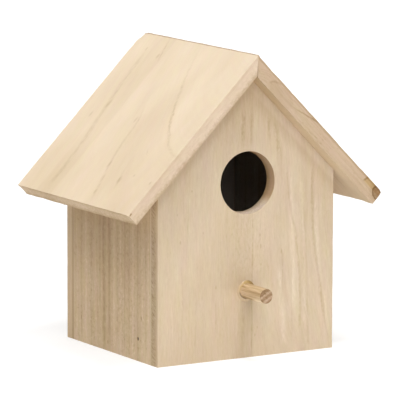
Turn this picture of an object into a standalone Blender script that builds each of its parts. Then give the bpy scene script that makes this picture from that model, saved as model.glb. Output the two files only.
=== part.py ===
"""Small gabled birdhouse of thin craft-wood boards, with a clean-out floor that swings down.

Frame: metres, +Z up, the entrance faces -Y, X runs across the front. The origin is on the ground, under
the centre of the whole object's box (perch tip to rear roof edge).
"""

import math

import bpy
import bmesh

# ---- driving dimensions, metres --------------------------------------------------------------------------
BODY_WIDTH = 0.110              # outside of one side wall to the outside of the other
BODY_DEPTH = 0.098              # outer face of the front board to the outer face of the back board
WALL_HEIGHT = 0.098             # ground to the roof's underside, at the outside of a side wall
WALL_BOARD = 0.0075             # thickness of the five wall and floor boards
ROOF_PITCH = math.radians(45.0)
ROOF_BOARD = 0.008              # thickness of the two roof boards
ROOF_SLOPE = 0.112              # ridge to eave, along the top of the roof
ROOF_FRONT_OVERHANG = 0.011
ROOF_BACK_OVERHANG = 0.012

ENTRANCE_DIAMETER = 0.034
ENTRANCE_HEIGHT = 0.0955        # ground to the centre of the entrance
PERCH_DIAMETER = 0.008
PERCH_HEIGHT = 0.0365           # ground to the centre of the perch
PERCH_REACH = 0.021             # how far the perch stands out of the front board
PERCH_CHAMFER = 0.0004
PERCH_HOLE = 0.011              # diameter of the oversize hole that the perch is glued into
GLUE_SINK = 0.0004              # how far the ring of glue lies below both faces of the front board

FLOOR_RECESS = 0.0085           # ground to the floor board's underside
FLOOR_NOSE = 0.0025             # radius of the lower front edge, which sweeps past the front board
FLOOR_FRONT_PLAY = 0.001
FLOOR_SIDE_PLAY = 0.0005        # running clearance to the side walls and the back board
PIVOT_SETBACK = 0.013           # inner face of the front board to the floor's pivot
BRAD_DIAMETER = 0.0016
BRAD_LENGTH = 0.018
BRAD_POINT = 0.0022
BRAD_SINK = 0.0003              # how far a brad's blunt end lies below the wall's surface
PIVOT_HOLE = 0.002              # diameter of a brad's holes: 0.2 mm of play all round
SOCKET_SPARE = 0.001            # depth of a floor socket past the brad's point

GAP = 0.0003                    # glue line between two boards
ROUND_SEGMENTS = 32
ENTRANCE_SEGMENTS = 72
NOSE_STEPS = 6                  # facets of the floor's rounded edge
SMOOTH_ANGLE = math.radians(30.0)
WELD = 0.000001                 # distance within which points are one

# ---- places worked out from them -------------------------------------------------------------------------
HALF_WIDTH = BODY_WIDTH / 2
INNER_HALF_WIDTH = HALF_WIDTH - WALL_BOARD
FRONT_Y = -(BODY_DEPTH + ROOF_BACK_OVERHANG - PERCH_REACH) / 2
BACK_Y = FRONT_Y + BODY_DEPTH
APEX_HEIGHT = WALL_HEIGHT + HALF_WIDTH * math.tan(ROOF_PITCH)
RIDGE_HEIGHT = APEX_HEIGHT + ROOF_BOARD / math.cos(ROOF_PITCH)
WALL_TOP_DROP = GAP / math.cos(ROOF_PITCH)
PIVOT_Y = FRONT_Y + WALL_BOARD + PIVOT_SETBACK
PIVOT_Z = FLOOR_RECESS + WALL_BOARD / 2

# ---- rotations: the plane of a plate's outline, and a round piece's axis ---------------------------------
ACROSS = (math.pi / 2, 0.0, 0.0)            # outline in X and Z, thickness or axis along Y
ALONG = (math.pi / 2, 0.0, math.pi / 2)     # outline in Y and Z, thickness along X
ALONG_X = (0.0, math.pi / 2, 0.0)           # axis along X

# ---- colours: sRGB values of the bare wood, the dried glue and the steel brads ---------------------------
FRONT_WOOD = (223, 201, 172)
SIDE_WOOD = (212, 190, 155)
ROOF_WOOD = (240, 222, 196)
PERCH_WOOD = (222, 198, 150)
GLUE = (200, 168, 110)
STEEL = (120, 112, 104)


def clear_scene():
    for obj in list(bpy.data.objects):
        bpy.data.objects.remove(obj, do_unlink=True)


def new_collection(name):
    collection = bpy.data.collections.new(name)
    bpy.context.scene.collection.children.link(collection)
    return collection


def linear(value):
    """One sRGB channel, 0 to 255, as the linear value that a shader wants."""
    v = value / 255.0
    return v / 12.92 if v <= 0.04045 else ((v + 0.055) / 1.055) ** 2.4


def finish_with(obj, srgb, roughness, metallic=0.0):
    material = bpy.data.materials.new(obj.name + "_finish")
    material.use_nodes = True
    shader = material.node_tree.nodes["Principled BSDF"]
    shader.inputs["Base Color"].default_value = [linear(c) for c in srgb] + [1.0]
    shader.inputs["Roughness"].default_value = roughness
    shader.inputs["Metallic"].default_value = metallic
    obj.data.materials.clear()
    obj.data.materials.append(material)


def move_to_collection(obj, collection):
    for old in list(obj.users_collection):
        old.objects.unlink(obj)
    collection.objects.link(obj)


def circle_outline(centre_x, centre_y, radius, segments):
    """A round outline as a ring of points."""
    points = []
    for i in range(segments):
        angle = 2 * math.pi * i / segments
        points.append((centre_x + radius * math.cos(angle), centre_y + radius * math.sin(angle)))
    return points


def as_solid(drawn, name):
    """Replaces a drawn curve or profile by the closed mesh that it makes, shaded smooth round its curves."""
    bpy.context.view_layer.update()
    evaluated = drawn.evaluated_get(bpy.context.evaluated_depsgraph_get())
    mesh = bpy.data.meshes.new_from_object(evaluated)
    bm = bmesh.new()
    bm.from_mesh(mesh)
    bmesh.ops.remove_doubles(bm, verts=bm.verts, dist=WELD)
    bmesh.ops.recalc_face_normals(bm, faces=bm.faces)
    bm.to_mesh(mesh)
    bm.free()
    mesh.shade_smooth()
    mesh.set_sharp_from_angle(angle=SMOOTH_ANGLE)
    solid = bpy.data.objects.new(name, mesh)
    solid.matrix_world = drawn.matrix_world.copy()
    parts.objects.link(solid)
    bpy.data.objects.remove(drawn, do_unlink=True)
    mesh.name = name
    return solid


def plate(name, outlines, thickness, location, rotation):
    """A flat board. The first closed outline is its edge, the others are holes; it is centred on location."""
    curve = bpy.data.curves.new(name + "_outline", "CURVE")
    curve.dimensions = "2D"
    curve.fill_mode = "BOTH"
    curve.extrude = thickness / 2
    for outline in outlines:
        spline = curve.splines.new("POLY")
        spline.points.add(len(outline) - 1)
        for point, (x, y) in zip(spline.points, outline):
            point.co = (x, y, 0.0, 1.0)
        spline.use_cyclic_u = True
    drawn = bpy.data.objects.new(name + "_outline", curve)
    drawn.location = location
    drawn.rotation_euler = rotation
    parts.objects.link(drawn)
    return as_solid(drawn, name)


def turned(name, profile, location, rotation):
    """A solid of revolution. The profile's (radius, height) pairs run down its outer side, axis to axis."""
    mesh = bpy.data.meshes.new(name + "_profile")
    edges = [(i, i + 1) for i in range(len(profile) - 1)]
    mesh.from_pydata([(radius, 0.0, height) for radius, height in profile], edges, [])
    drawn = bpy.data.objects.new(name + "_profile", mesh)
    drawn.location = location
    drawn.rotation_euler = rotation
    parts.objects.link(drawn)
    screw = drawn.modifiers.new("turn", "SCREW")
    screw.axis = "Z"
    screw.steps = ROUND_SEGMENTS
    screw.render_steps = ROUND_SEGMENTS
    screw.use_merge_vertices = True
    screw.merge_threshold = WELD
    return as_solid(drawn, name)


def drill(obj, centre, diameter, length):
    """Cuts a round hole along X: a hidden cylinder of that length about centre."""
    bpy.ops.mesh.primitive_cylinder_add(
        vertices=ROUND_SEGMENTS, radius=diameter / 2, depth=length, location=centre, rotation=ALONG_X)
    cutter = bpy.context.object
    cutter.name = obj.name + "_drill"
    cutter.hide_render = True
    cutter.display_type = "WIRE"
    move_to_collection(cutter, cutters)
    cut = obj.modifiers.new("drill", "BOOLEAN")
    cut.operation = "DIFFERENCE"
    cut.solver = "EXACT"
    cut.object = cutter


def gable_outline():
    """Edge of the front and back boards: a box with a gable, a glue line below the roof boards."""
    shoulder = WALL_HEIGHT - WALL_TOP_DROP
    apex = APEX_HEIGHT - WALL_TOP_DROP
    return [(-HALF_WIDTH, 0.0), (HALF_WIDTH, 0.0), (HALF_WIDTH, shoulder),
            (0.0, apex), (-HALF_WIDTH, shoulder)]


def make_front_board():
    entrance = circle_outline(0.0, ENTRANCE_HEIGHT, ENTRANCE_DIAMETER / 2, ENTRANCE_SEGMENTS)
    perch_hole = circle_outline(0.0, PERCH_HEIGHT, PERCH_HOLE / 2, ROUND_SEGMENTS)
    board = plate("front_board", [gable_outline(), entrance, perch_hole], WALL_BOARD,
                  (0.0, FRONT_Y + WALL_BOARD / 2, 0.0), ACROSS)
    finish_with(board, FRONT_WOOD, 0.6)
    return board


def make_back_board():
    board = plate("back_board", [gable_outline()], WALL_BOARD, (0.0, BACK_Y - WALL_BOARD / 2, 0.0), ACROSS)
    finish_with(board, FRONT_WOOD, 0.6)
    return board


def make_side_board(name, side):
    """side is -1 for the left wall and 1 for the right one. The top follows the roof's slope."""
    outer_top = WALL_HEIGHT - WALL_TOP_DROP
    inner_top = outer_top + WALL_BOARD * math.tan(ROOF_PITCH)
    outline = [(side * HALF_WIDTH, 0.0), (side * HALF_WIDTH, outer_top),
               (side * INNER_HALF_WIDTH, inner_top), (side * INNER_HALF_WIDTH, 0.0)]
    depth = BODY_DEPTH - 2 * WALL_BOARD - 2 * GAP
    board = plate(name, [outline], depth, (0.0, FRONT_Y + BODY_DEPTH / 2, 0.0), ACROSS)
    wall_middle = side * (HALF_WIDTH - WALL_BOARD / 2)
    drill(board, (wall_middle, PIVOT_Y, PIVOT_Z), PIVOT_HOLE, 2 * WALL_BOARD)
    finish_with(board, SIDE_WOOD, 0.6)
    return board


def make_floor_board():
    """The clean-out floor, its origin on the pivot and its lower front edge rounded so that it can swing."""
    front = FLOOR_FRONT_PLAY - PIVOT_SETBACK
    back = BODY_DEPTH - 2 * WALL_BOARD - FLOOR_SIDE_PLAY - PIVOT_SETBACK
    top = WALL_BOARD / 2
    nose = []
    for i in range(NOSE_STEPS + 1):
        angle = math.pi + i * math.pi / 2 / NOSE_STEPS
        nose.append((front + FLOOR_NOSE * (1 + math.cos(angle)), -top + FLOOR_NOSE * (1 + math.sin(angle))))
    outline = nose + [(back, -top), (back, top), (front, top)]
    width = 2 * (INNER_HALF_WIDTH - FLOOR_SIDE_PLAY)
    board = plate("floor_board", [outline], width, (0.0, PIVOT_Y, PIVOT_Z), ALONG)
    socket_depth = BRAD_SINK + BRAD_LENGTH - WALL_BOARD + SOCKET_SPARE
    for side in (-1, 1):
        drill(board, (side * INNER_HALF_WIDTH, PIVOT_Y, PIVOT_Z), PIVOT_HOLE, 2 * socket_depth)
    finish_with(board, SIDE_WOOD, 0.65)
    return board


def make_floor_brad(name, side):
    """A headless nail, blunt end outside, driven through a side wall into the floor board's edge."""
    radius = BRAD_DIAMETER / 2
    profile = [(0.0, 0.0), (radius, 0.0), (radius, BRAD_POINT - BRAD_LENGTH), (0.0, -BRAD_LENGTH)]
    blunt_end = side * (HALF_WIDTH - BRAD_SINK)
    brad = turned(name, profile, (blunt_end, PIVOT_Y, PIVOT_Z), (0.0, side * math.pi / 2, 0.0))
    finish_with(brad, STEEL, 0.45, 1.0)
    return brad


def make_roof_board(name, side):
    """side is -1 for the left slope and 1 for the right one. The upper edge is mitred at the ridge."""
    mitre = GAP / 2
    eave_x = ROOF_SLOPE * math.cos(ROOF_PITCH)
    eave_z = RIDGE_HEIGHT - ROOF_SLOPE * math.sin(ROOF_PITCH)
    under_x = eave_x - ROOF_BOARD * math.sin(ROOF_PITCH)
    under_z = eave_z - ROOF_BOARD * math.cos(ROOF_PITCH)
    fall = mitre * math.tan(ROOF_PITCH)
    outline = [(side * mitre, RIDGE_HEIGHT - fall), (side * eave_x, eave_z),
               (side * under_x, under_z), (side * mitre, APEX_HEIGHT - fall)]
    depth = BODY_DEPTH + ROOF_FRONT_OVERHANG + ROOF_BACK_OVERHANG
    middle = FRONT_Y - ROOF_FRONT_OVERHANG + depth / 2
    board = plate(name, [outline], depth, (0.0, middle, 0.0), ACROSS)
    finish_with(board, ROOF_WOOD, 0.55)
    return board


def make_perch():
    radius = PERCH_DIAMETER / 2
    length = PERCH_REACH + WALL_BOARD
    profile = [(0.0, 0.0), (radius - PERCH_CHAMFER, 0.0), (radius, -PERCH_CHAMFER),
               (radius, PERCH_CHAMFER - length), (radius - PERCH_CHAMFER, -length), (0.0, -length)]
    perch = turned("perch_dowel", profile, (0.0, FRONT_Y - PERCH_REACH, PERCH_HEIGHT), ACROSS)
    finish_with(perch, PERCH_WOOD, 0.5)
    return perch


def make_perch_glue():
    """The ring of dried glue between the perch and its oversize hole."""
    outer = circle_outline(0.0, PERCH_HEIGHT, PERCH_HOLE / 2 - GAP, ROUND_SEGMENTS)
    inner = circle_outline(0.0, PERCH_HEIGHT, PERCH_DIAMETER / 2 + GAP, ROUND_SEGMENTS)
    ring = plate("perch_glue", [outer, inner], WALL_BOARD - 2 * GLUE_SINK,
                 (0.0, FRONT_Y + WALL_BOARD / 2, 0.0), ACROSS)
    finish_with(ring, GLUE, 0.35)
    return ring


def add_empty(name, location):
    empty = bpy.data.objects.new(name, None)
    empty.location = location
    parts.objects.link(empty)
    return empty


def attach(children, parent):
    bpy.context.view_layer.update()
    for child in children:
        world = child.matrix_world.copy()
        child.parent = parent
        child.matrix_parent_inverse = parent.matrix_world.inverted()
        child.matrix_world = world


clear_scene()
parts = new_collection("birdhouse")
cutters = new_collection("cutters")

fixed = [
    make_front_board(),
    make_back_board(),
    make_side_board("left_side_board", -1),
    make_side_board("right_side_board", 1),
    make_roof_board("left_roof_board", -1),
    make_roof_board("right_roof_board", 1),
    make_perch(),
    make_perch_glue(),
    make_floor_brad("floor_pivot_left", -1),
    make_floor_brad("floor_pivot_right", 1),
]
attach(fixed, add_empty("house", (0.0, 0.0, 0.0)))
attach([make_floor_board()], add_empty("floor_hinge", (0.0, PIVOT_Y, PIVOT_Z)))
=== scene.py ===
"""Looks of the small craft-wood birdhouse: its worn boards, glue, brads and the grain of every board.

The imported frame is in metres. Places and sizes in this script are in millimetres unless MM multiplies them.
"""

import math

import bmesh
import bpy
from mathutils import Matrix, Vector, noise


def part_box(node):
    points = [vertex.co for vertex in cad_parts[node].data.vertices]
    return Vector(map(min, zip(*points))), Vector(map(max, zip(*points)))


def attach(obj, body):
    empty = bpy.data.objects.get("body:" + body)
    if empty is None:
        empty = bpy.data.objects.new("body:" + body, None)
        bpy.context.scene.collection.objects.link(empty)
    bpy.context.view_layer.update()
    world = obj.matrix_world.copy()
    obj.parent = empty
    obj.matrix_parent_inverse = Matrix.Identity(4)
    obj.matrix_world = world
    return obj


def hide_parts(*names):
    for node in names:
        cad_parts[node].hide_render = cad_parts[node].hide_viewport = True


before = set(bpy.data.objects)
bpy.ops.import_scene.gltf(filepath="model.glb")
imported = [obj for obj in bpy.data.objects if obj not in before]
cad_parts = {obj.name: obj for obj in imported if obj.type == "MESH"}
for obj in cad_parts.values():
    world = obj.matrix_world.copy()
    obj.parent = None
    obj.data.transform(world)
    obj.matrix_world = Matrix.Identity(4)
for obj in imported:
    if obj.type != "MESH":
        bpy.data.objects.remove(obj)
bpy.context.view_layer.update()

MM = 0.001
scene = bpy.context.scene
HOUSE = "house"
FLOOR_BODY = "clean_out_floor"


def corners(node):
    """A CAD node's lowest and highest corners, in millimetres."""
    low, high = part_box(node)
    return low / MM, high / MM


def linked(name, data):
    """A new object in the scene."""
    thing = bpy.data.objects.new(name, data)
    scene.collection.objects.link(thing)
    return thing


front_low, front_high = corners("front_board")
back_low, back_high = corners("back_board")
wall_low, wall_high = corners("left_side_board")
roof_low, roof_high = corners("left_roof_board")
right_roof_low, right_roof_high = corners("right_roof_board")
floor_low, _ = corners("floor_board")
perch_low, perch_high = corners("perch_dowel")
_, glue_high = corners("perch_glue")

HALF_WIDTH = front_high.x
FRONT_Y = front_low.y
BACK_Y = back_high.y
WALL = wall_high.x - wall_low.x
ROOF_FRONT_Y = roof_low.y
ROOF_BACK_Y = roof_high.y
RIDGE_Z = roof_high.z
GAP = wall_low.y - front_high.y
PITCH = math.radians(45.0)
SLOPE = Vector((math.cos(PITCH), 0.0, -math.sin(PITCH)))       # down the right slope
PERCH_Z = (perch_low.z + perch_high.z) / 2
PERCH_RADIUS = (perch_high.x - perch_low.x) / 2
ENTRANCE_Z = 95.5
ENTRANCE_RADIUS = 17.0


# ---- a short language for materials ----------------------------------------------------------------------
def linear(srgb):
    """An sRGB colour, 0 to 255, as the linear values that a shader wants."""
    shares = [value / 255.0 for value in srgb]
    return tuple(v / 12.92 if v <= 0.04045 else ((v + 0.055) / 1.055) ** 2.4 for v in shares)


class Value:
    """A node's output. Sums, products and the like of it and numbers or other outputs are more nodes."""

    def __init__(self, graph, socket):
        self.graph = graph
        self.socket = socket

    def __add__(self, other):
        return self.graph.math("ADD", self, other)

    def __sub__(self, other):
        return self.graph.math("SUBTRACT", self, other)

    def __rsub__(self, other):
        return self.graph.math("SUBTRACT", other, self)

    def __mul__(self, other):
        if isinstance(other, tuple):
            return self.graph.vector_math("MULTIPLY", self, other)
        return self.graph.math("MULTIPLY", self, other)

    def __truediv__(self, other):
        return self.graph.math("DIVIDE", self, other)

    def __abs__(self):
        return self.graph.math("ABSOLUTE", self)

    __radd__ = __add__
    __rmul__ = __mul__


class Graph:
    """A material's nodes. Most calls add a node and return its output as a Value."""

    def __init__(self, name):
        self.material = bpy.data.materials.new(name)
        self.material.use_nodes = True
        self.tree = self.material.node_tree
        self.shader = self.tree.nodes["Principled BSDF"]

    def add(self, kind, **settings):
        node = self.tree.nodes.new(kind)
        for key, value in settings.items():
            setattr(node, key, value)
        return node

    def feed(self, socket, value):
        if isinstance(value, Value):
            self.tree.links.new(value.socket, socket)
        else:
            socket.default_value = value

    def output(self, kind, values=(), output=0, **settings):
        """Adds a node, feeds the values to its first inputs and returns one output."""
        node = self.add(kind, **settings)
        for socket, value in zip(node.inputs, values):
            self.feed(socket, value)
        return Value(self, node.outputs[output])

    def math(self, operation, *values):
        return self.output("ShaderNodeMath", values, operation=operation)

    def vector_math(self, operation, first, second, output="Vector"):
        return self.output("ShaderNodeVectorMath", (first, second), output, operation=operation)

    def length(self, *values):
        """The length of a vector with these parts."""
        return self.math("SQRT", sum(value * value for value in values))

    def place(self):
        """Where the surface is, in millimetres."""
        return self.output("ShaderNodeTexCoord", output="Object") * (1 / MM, 1 / MM, 1 / MM)

    def ramp(self, value, start, end, low=0.0, high=1.0):
        """Goes smoothly from low to high as value goes from start to end."""
        return self.output("ShaderNodeMapRange", (value, start, end, low, high),
                           interpolation_type="SMOOTHSTEP")

    def vector(self, x, y, z):
        return self.output("ShaderNodeCombineXYZ", (x, y, z))

    def noise(self, vector, detail=2.0, roughness=0.5):
        """Noise about 0, mostly within 0.25 of it. vector is a Value or a tuple of three parts."""
        node = self.add("ShaderNodeTexNoise", noise_dimensions="3D")
        vector = self.vector(*vector) if isinstance(vector, tuple) else vector
        for name, value in (("Vector", vector), ("Scale", 1.0), ("Detail", detail), ("Roughness", roughness)):
            self.feed(node.inputs[name], value)
        return Value(self, node.outputs[0]) - 0.5

    def curve(self, value, points):
        """A smooth curve through (input, output) points, level past both ends."""
        inputs = [point[0] for point in points]
        outputs = [point[1] for point in points]
        low = min(outputs)
        span = max(max(outputs) - low, 1e-6)
        node = self.add("ShaderNodeFloatCurve")
        line = node.mapping.curves[0]
        line.points[0].location = (0.0, (outputs[0] - low) / span)
        line.points[1].location = (1.0, (outputs[-1] - low) / span)
        for x, y in points[1:-1]:
            line.points.new((x - inputs[0]) / (inputs[-1] - inputs[0]), (y - low) / span)
        node.mapping.update()
        place = self.output("ShaderNodeMapRange", (value, inputs[0], inputs[-1], 0.0, 1.0))
        self.feed(node.inputs["Value"], place)
        return Value(self, node.outputs[0]) * span + low

    def colour(self, factor, first, second):
        """The first colour, or the second where factor is 1. They are Values or sRGB colours."""
        node = self.add("ShaderNodeMix", data_type="RGBA")
        self.feed(node.inputs[0], factor)
        for socket, value in ((node.inputs[6], first), (node.inputs[7], second)):
            self.feed(socket, value if isinstance(value, Value) else (*linear(value), 1.0))
        return Value(self, node.outputs[2])

    def bump(self, height, distance):
        node = self.add("ShaderNodeBump")
        for name, value in (("Strength", 1.0), ("Distance", distance * MM), ("Height", height)):
            self.feed(node.inputs[name], value)
        self.tree.links.new(node.outputs[0], self.shader.inputs["Normal"])

    def finish(self, **inputs):
        """Feeds the shader's inputs, their spaces written as underscores, and returns the material."""
        for name, value in inputs.items():
            self.feed(self.shader.inputs[name.replace("_", " ")], value)
        return self.material


class BoardSpace:
    """Where a board's grain lies: an origin in mm and unit vectors across it, along it and into the board."""

    def __init__(self, origin, across, along, depth):
        self.origin = Vector(origin)
        self.axes = [Vector(across).normalized(), Vector(along).normalized(), Vector(depth).normalized()]

    def coordinates(self, g):
        """Three values in mm: across the grain, along it and below the outer face."""
        position = g.output("ShaderNodeTexCoord", output="Object")
        return [g.vector_math("DOT_PRODUCT", position, axis / MM, "Value") - self.origin.dot(axis)
                for axis in self.axes]

    def facing(self, g, axis):
        """1 where the surface faces squarely along one of the axes, 0 where it doesn't."""
        normal = g.output("ShaderNodeTexCoord", output="Normal")
        return g.ramp(abs(g.vector_math("DOT_PRODUCT", normal, self.axes[axis], "Value")), 0.55, 0.85)


# ---- wood ------------------------------------------------------------------------------------------------
# Tone is a darkening: 0 is the board's own colour, 1 is a dark knot, below 0 is paler wood. Brown wood loses
# more blue than red.
TONE_OF_CHANNELS = (0.72, 0.90, 1.25)
INSIDE_DUST_AND_SHADE = (0.50, 0.38, 0.14)        # the same for the inner faces, which are rough and greyer; their darkening is partly painted shade inside the closed box


def streak(g, across, along, broken, half_width, strength, points):
    """A line of darker or paler wood through (across, along) points, which runs mostly along the grain."""
    start, end = points[0][1], points[-1][1]
    centre = g.curve(along, [(v, u) for u, v in points])
    line = g.ramp(abs(across - centre), half_width, 0.0)
    fade = min(8.0, abs(end - start) * 0.3)
    rise = g.ramp(along, min(start, end) - 1.0, min(start, end) + fade)
    fall = g.ramp(along, max(start, end) + 1.0, max(start, end) - fade)
    return line * rise * fall * broken * strength


def spot(g, across, along, rough, half_across, half_along, strength, u, v):
    """A soft oval mark."""
    distance = g.length((across - u) / half_across, (along - v) / half_along)
    return g.ramp(rough * 1.1 + distance, 1.15, 0.35, 0.0, strength)


def wood(name, space, colour, seed, rings=0.2, fibres=0.2, flecks=0.1, fleck_size=(0.9, 0.45), broad=0.25,
         hue=0.10, profile=None, streaks=(), spots=(), side_tone=0.1, side_from=0.0, end_tone=0.3,
         end_grey=0.05, side_pink=0.0, dust_and_shade=1.0, inner_tone=0.0,
         bend=None, gain=None, extra=None, warm=None):
    """Bare sanded wood. streaks hold (half width, strength, points), spots (half across, half along,
    strength, across, along), profile (across, tone) points and gain (across, ring strength) points. bend
    gives the coordinate that is the same all along one growth ring. fleck_size is in flecks per mm across and
    along. side_from leaves the side tone off edges nearer the middle than that. extra gives more tone, and
    warm a loss of green and a loss of blue."""
    g = Graph(name)
    across, along, depth = space.coordinates(g)
    here = g.vector_math("ADD", g.vector(across, along, depth), (seed * 37.0, seed * 91.0, seed * 53.0))

    wander = g.noise(here * (0.02, 0.009, 0.02), 1.0) * 9.0
    ripple = g.noise(here * (0.12, 0.06, 0.12), 1.0) * 1.6
    rough = g.noise(here * (0.9, 0.12, 0.9), 3.0, 0.6)
    waver = g.noise(here * (0.7, 0.35, 0.7), 2.0, 0.6)
    ring_place = bend(g, across, along) if bend else across
    growth = ring_place + wander + ripple + depth * 0.35 + waver * 0.8
    grain = g.vector(growth, along + seed * 91.0, depth)

    ring = g.noise(grain * (0.17, 0.0025, 0.0), 4.0, 0.72)
    cloud = g.noise(here * (0.05, 0.018, 0.05), 3.0)
    fibre = g.noise(grain * (1.0, 0.075, 1.1), 3.0, 0.68)
    fine = g.noise(here * (3.6, 0.30, 3.6), 2.0, 0.6)
    fleck = g.noise(here * (fleck_size[0], fleck_size[1], fleck_size[0]), 2.0, 0.65)
    dark_fleck = g.ramp(ring * 0.5 + fleck, 0.04, 0.26)
    pale_fleck = g.ramp(fleck, -0.04, -0.24)

    ring_part = ring * (rings * 4.0)
    if gain:
        ring_part *= g.curve(across, gain)
    tone = (ring_part + cloud * broad + fibre * fibres + fine * (fibres * 0.6) + dark_fleck * flecks
            + pale_fleck * (-0.7 * flecks))
    if profile:
        tone += g.curve(across + ripple * 0.8, profile)
    wavy = across + ripple * 0.7 + rough * 1.6 + waver * 0.7
    broken = g.math("MAXIMUM", waver * 3.2 + (rough * 1.6 + 1.0), 0.15)
    for shape in streaks:
        tone += streak(g, wavy, along, broken, *shape)
    for shape in spots:
        tone += spot(g, across, along, rough, *shape)

    side = space.facing(g, 0)
    if side_from:
        side *= g.ramp(abs(across), side_from - 1.0, side_from)
    # inner_tone and the inside dust change the inner faces' tone: they are rough, dusty wood, and their
    # darkening is partly painted shade inside the closed box and on the roofs' undersides.
    inner_face = g.ramp(depth, WALL - 0.6, WALL - 0.2) * space.facing(g, 2)
    tone += side * side_tone + inner_face * inner_tone
    end = space.facing(g, 1)
    speckle = g.noise(here * (1.3, 0.05, 1.3), 3.0, 0.7)
    tone += end * (speckle * 0.9 + end_tone)
    if extra:
        tone += extra(g, across, along, depth, side, end)

    pinkness = g.noise(grain * (0.22, 0.03, 0.22), 2.0, 0.7) + waver * 0.25
    yellowness = g.noise(here * (0.14, 0.06, 0.14), 3.0, 0.7)
    green_loss, blue_loss = warm(g, across, along, depth) if warm else (0.0, 0.0)
    green = pinkness * -hue + side * (side_pink * -0.3) - green_loss
    blue = yellowness * (hue * -1.6) + end * end_grey + side * side_pink - blue_loss
    channels = []
    for base, loss, dust, tint in zip(linear(colour), TONE_OF_CHANNELS, INSIDE_DUST_AND_SHADE, (0.0, green, blue)):
        darkening = tone * -loss + inner_face * (-dust * dust_and_shade) + tint
        channels.append(g.math("EXPONENT", darkening) * base)
    g.bump(fibre * 0.5 + fine * 0.3 + dark_fleck * (flecks * -2.0) + end * speckle, 0.1)
    return g.finish(Base_Color=g.output("ShaderNodeCombineColor", channels),
                    Roughness=0.66 + fibre * 0.25 + end * 0.1, Specular_IOR_Level=0.25)


# ---- worn boards -----------------------------------------------------------------------------------------
WELD = 0.00001
FLAT = math.radians(1.0)
SHARP = math.radians(35.0)
FREE_ROUNDING = 0.2
GLUED_ROUNDING = 0.03
LATTICE = 3.0
PROUD = 0.5                                 # how much the right roof board stands above the left at the ridge
PERCH_SHIFT = Vector((-0.45, 0.0, 0.3))     # from the middle of its oversize hole
BORE_SHIFT = Vector((0.6, 0.0, -0.55))      # of the entrance, from where the CAD has it
BORE_MOUTH = 0.12                           # how much smaller its radius is at the mouth
BORE_TAPER = 0.45                           # and how much more that is at the inner end
THICKER_REACH = 10.5    # how far behind a roof's front edge its changed thickness ends, just before the wall


def limited(share):
    return max(0.0, min(1.0, share))


def board_mesh(node):
    """A CAD board in millimetres, its coplanar triangles joined."""
    bm = bmesh.new()
    bm.from_mesh(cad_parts[node].data)
    bmesh.ops.remove_doubles(bm, verts=bm.verts, dist=WELD)
    bmesh.ops.dissolve_limit(bm, angle_limit=FLAT, verts=bm.verts, edges=bm.edges)
    bmesh.ops.scale(bm, vec=(1 / MM,) * 3, verts=bm.verts)
    return bm


def sharp_edges(bm):
    return [e for e in bm.edges if len(e.link_faces) == 2 and e.calc_face_angle(0.0) > SHARP]


def cut_lattice(bm, axes, step, extra=()):
    """Cuts every face along planes square to the axes, and along extra (point, normal) planes."""
    planes = list(extra)
    for axis in axes:
        reach = [v.co.dot(axis) for v in bm.verts]
        low, high = min(reach), max(reach)
        count = max(2, round((high - low) / step))
        for i in range(1, count):
            planes.append((axis * (low + (high - low) * i / count), axis))
    for point, normal in planes:
        bmesh.ops.bisect_plane(bm, geom=bm.verts[:] + bm.edges[:] + bm.faces[:], dist=0.001,
                               plane_co=point, plane_no=normal)


def distance_to_edges(point, edges):
    nearest = 1e9
    for a, b in edges:
        along = b - a
        t = limited((point - a).dot(along) / along.length_squared)
        nearest = min(nearest, (a + along * t - point).length)
    return nearest


def as_object(bm, name, material, body):
    """Turns a mesh in millimetres into a smooth-shaded piece in metres that rides on a body."""
    bmesh.ops.recalc_face_normals(bm, faces=bm.faces)
    bmesh.ops.scale(bm, vec=(MM,) * 3, verts=bm.verts)
    mesh = bpy.data.meshes.new(name)
    bm.to_mesh(mesh)
    bm.free()
    mesh.shade_smooth()
    mesh.set_sharp_from_angle(angle=SHARP)
    mesh.materials.append(material)
    piece = linked(name, mesh)
    even = piece.modifiers.new("even_shading", "WEIGHTED_NORMAL")
    even.keep_sharp = True
    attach(piece, body)
    return piece


def is_free(node, edge):
    """Whether an edge of a board lies open: not against a neighbour."""
    middle = (edge.verts[0].co + edge.verts[1].co) / 2
    if "roof" in node:
        return abs(middle.x) > 1.0
    if node in ("front_board", "back_board"):
        outer = FRONT_Y if node == "front_board" else BACK_Y
        below_roof = middle.z < wall_high.z - WALL - 1.0
        in_hole = math.hypot(middle.x, middle.z - ENTRANCE_Z) < ENTRANCE_RADIUS + 1.0
        return in_hole or (below_roof and abs(middle.y - outer) < WALL - 0.5)
    if node == "floor_board":
        return True
    return middle.z < 1.0


def round_edges(bm, node):
    for free, rounding in ((True, FREE_ROUNDING), (False, GLUED_ROUNDING)):
        chosen = [edge for edge in sharp_edges(bm) if is_free(node, edge) == free]
        bmesh.ops.bevel(bm, geom=chosen, offset=rounding, segments=3, profile=0.5, affect="EDGES",
                        clamp_overlap=True)


def pressed(point, dents):
    """How far the dents (centre, radius, push) move a point."""
    move = Vector()
    for centre, radius, push in dents:
        share = 1.0 - (point - Vector(centre)).length / radius
        if share > 0.0:
            move += Vector(push) * (share * share * (3.0 - 2.0 * share))
    return move


def drilled_off_centre(point):
    """How far a point by the entrance moves to where the drill went. Points further off move less."""
    away = Vector((point.x, 0.0, point.z - ENTRANCE_Z))
    share = limited((ENTRANCE_RADIUS + 9.0 - away.length) / 8.0)
    narrower = BORE_MOUTH + BORE_TAPER * (point.y - FRONT_Y) / WALL
    return (BORE_SHIFT - away.normalized() * narrower) * share


def thickened(space, point, amount):
    """The front overhang of a roof board is thicker or thinner than the rest of it."""
    across, depth = ((point - space.origin).dot(space.axes[i]) for i in (0, 2))
    thickness = 8.0
    return space.axes[2] * (amount * limited((THICKER_REACH - across) / 2.5) * limited(depth / thickness))


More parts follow.
